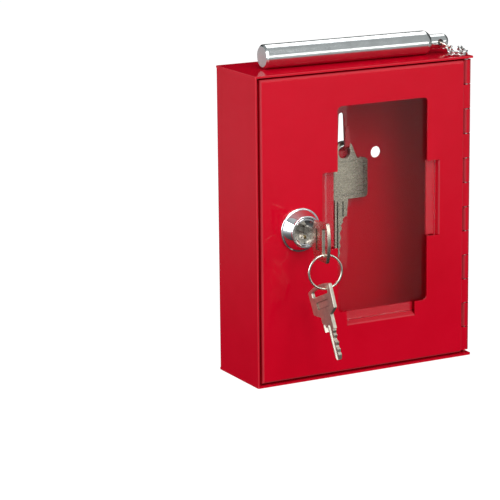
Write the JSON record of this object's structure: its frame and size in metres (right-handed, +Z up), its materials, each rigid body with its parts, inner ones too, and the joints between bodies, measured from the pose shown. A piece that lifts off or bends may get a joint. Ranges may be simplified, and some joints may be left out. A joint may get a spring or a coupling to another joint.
{
  "type": "break glass key box",
  "caption": "Wall-mounted steel emergency key box: hinged door with a glass window and cam lock, a key kept on a hook inside, and a striker rod on a chain.",
  "frame": {"origin": "centre of the case's underside", "axes": "+Z up, +Y towards the wall the box is screwed to, front of the door faces -Y, +X to the hinge side (right, seen from the front)"},
  "size_m": [0.1245, 0.0751, 0.1617],
  "materials": {
    "red_paint": "glossy signal-red powder coat, light orange peel",
    "clear_glass": "clear float glass, polished",
    "lock_chrome": "bright chrome plate",
    "zinc_steel": "bright zinc plate",
    "wafer_brass": "stamped, bare",
    "key_nickel": "nickel plate, satin",
    "ring_steel": "bright nickel-plated wire",
    "chain_steel": "bright zinc-plated wire",
    "striker_steel": "turned and zinc plated"
  },
  "bodies": {
    "case": {"case_wrap": "red_paint", "top_plate": "red_paint", "bottom_plate": "red_paint", "latch_keeper": "red_paint", "hinge_leaf_case": "red_paint", "hinge_pin": "zinc_steel", "chain_anchor": "zinc_steel", "striker_chain": "chain_steel"},
    "door": {"door_panel": "red_paint", "hinge_leaf_door": "red_paint", "glass_pane": "clear_glass", "lock_body": "lock_chrome", "lock_washer": "zinc_steel", "lock_nut": "zinc_steel"},
    "plug": {"lock_plug": "lock_chrome", "lock_wafers": "wafer_brass", "wafer_springs": "zinc_steel", "stop_washer": "zinc_steel", "lock_cam": "zinc_steel", "cam_washer": "zinc_steel", "cam_screw": "zinc_steel"},
    "lock_key": {"lock_key": "key_nickel"},
    "ring": {"key_ring": "ring_steel"},
    "spare": {"spare_key": "key_nickel"},
    "stored": {"stored_key": "key_nickel"},
    "striker": {"striker_rod": "striker_steel", "striker_ring": "ring_steel"}
  },
  "joints": [
    {"name": "door_hinge", "type": "hinge", "parent": "case", "child": "door", "pos_m": [0.0577, -0.0168, 0.0754], "axis": [0, 0, 1], "range_deg": [0, 125]},
    {"name": "lock_turn", "type": "hinge", "parent": "door", "child": "plug", "pos_m": [-0.0368, -0.0258, 0.075], "axis": [0, 1, 0], "range_deg": [0, 90]},
    {"name": "key_slide", "type": "slide", "parent": "plug", "child": "lock_key", "axis": [0, -1, 0], "range_m": [0, 0.016]},
    {"name": "ring_hang", "type": "hinge", "parent": "lock_key", "child": "ring", "pos_m": [-0.0368, -0.0439, 0.0654], "axis": [0, 1, 0], "range_deg": [-90, 0]},
    {"name": "spare_swing", "type": "hinge", "parent": "ring", "child": "spare", "pos_m": [-0.03621, -0.044, 0.05149], "axis": [0.9848, -0.1736, 0], "range_deg": [-30, 40]},
    {"name": "stored_swing", "type": "hinge", "parent": "case", "child": "stored", "pos_m": [0.008, 0.0167, 0.102], "axis": [0, 1, 0], "range_deg": [-15, 15]},
    {"name": "striker_lift", "type": "slide", "parent": "case", "child": "striker", "axis": [0, 0, 1], "range_m": [0, 0.02], "deforming": ["striker_chain"]}
  ],
  "couplings": [
    {"joint": "ring_hang", "follows": "lock_turn", "ratio": -1}
  ]
}
